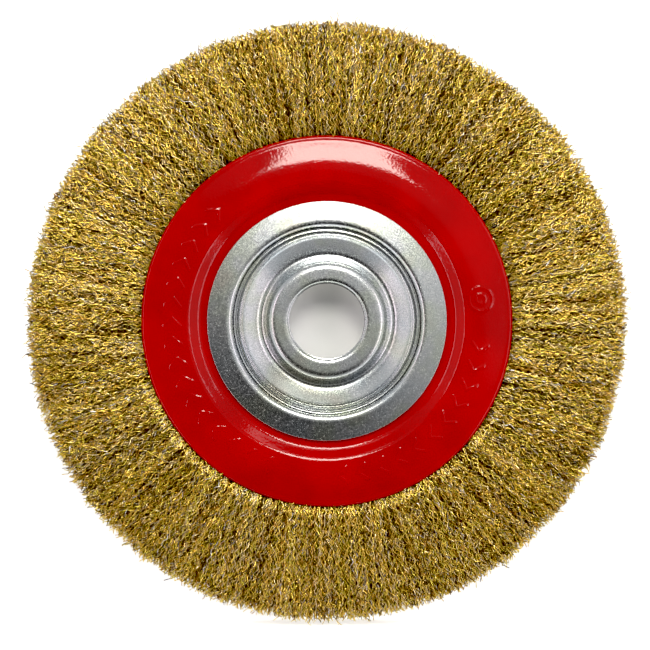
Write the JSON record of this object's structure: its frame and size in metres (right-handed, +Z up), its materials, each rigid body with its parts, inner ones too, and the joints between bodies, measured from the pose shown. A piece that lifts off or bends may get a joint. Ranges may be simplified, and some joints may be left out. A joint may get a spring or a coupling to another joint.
{
  "type": "crimped wire wheel brush",
  "caption": "Round wire wheel brush with crimped brass-coated wire, red pressed side plates and a zinc-plated hub with a plain arbor bore.",
  "frame": {"origin": "centre of the wheel: on the arbor axis, midway between the two faces", "axes": "+Y along the arbor axis, towards the rear face; the front face looks towards -Y; +Z up, the wheel standing on its rim"},
  "size_m": [0.25, 0.024, 0.25],
  "materials": {
    "zinc_hub": "bright zinc plating on pressed steel",
    "red_enamel": "glossy red baked enamel on pressed steel",
    "wire_fill": "brass-coated crimped steel wire",
    "ring_steel": "plain drawn steel wire"
  },
  "bodies": {
    "root": {"front_centre_cup": "zinc_hub", "rear_centre_cup": "zinc_hub", "front_eyelet": "zinc_hub", "rear_eyelet": "zinc_hub", "front_face_plate": "red_enamel", "rear_face_plate": "red_enamel", "core_ring": "ring_steel", "wire_tuft_01": "wire_fill", "wire_tuft_02": "wire_fill", "wire_tuft_03": "wire_fill", "wire_tuft_04": "wire_fill", "wire_tuft_05": "wire_fill", "wire_tuft_06": "wire_fill", "wire_tuft_07": "wire_fill", "wire_tuft_08": "wire_fill", "wire_tuft_09": "wire_fill", "wire_tuft_10": "wire_fill", "wire_tuft_11": "wire_fill", "wire_tuft_12": "wire_fill", "wire_tuft_13": "wire_fill", "wire_tuft_14": "wire_fill", "wire_tuft_15": "wire_fill", "wire_tuft_16": "wire_fill", "wire_tuft_17": "wire_fill", "wire_tuft_18": "wire_fill", "wire_tuft_19": "wire_fill", "wire_tuft_20": "wire_fill", "wire_tuft_21": "wire_fill", "wire_tuft_22": "wire_fill", "wire_tuft_23": "wire_fill", "wire_tuft_24": "wire_fill"}
  },
  "joints": []
}
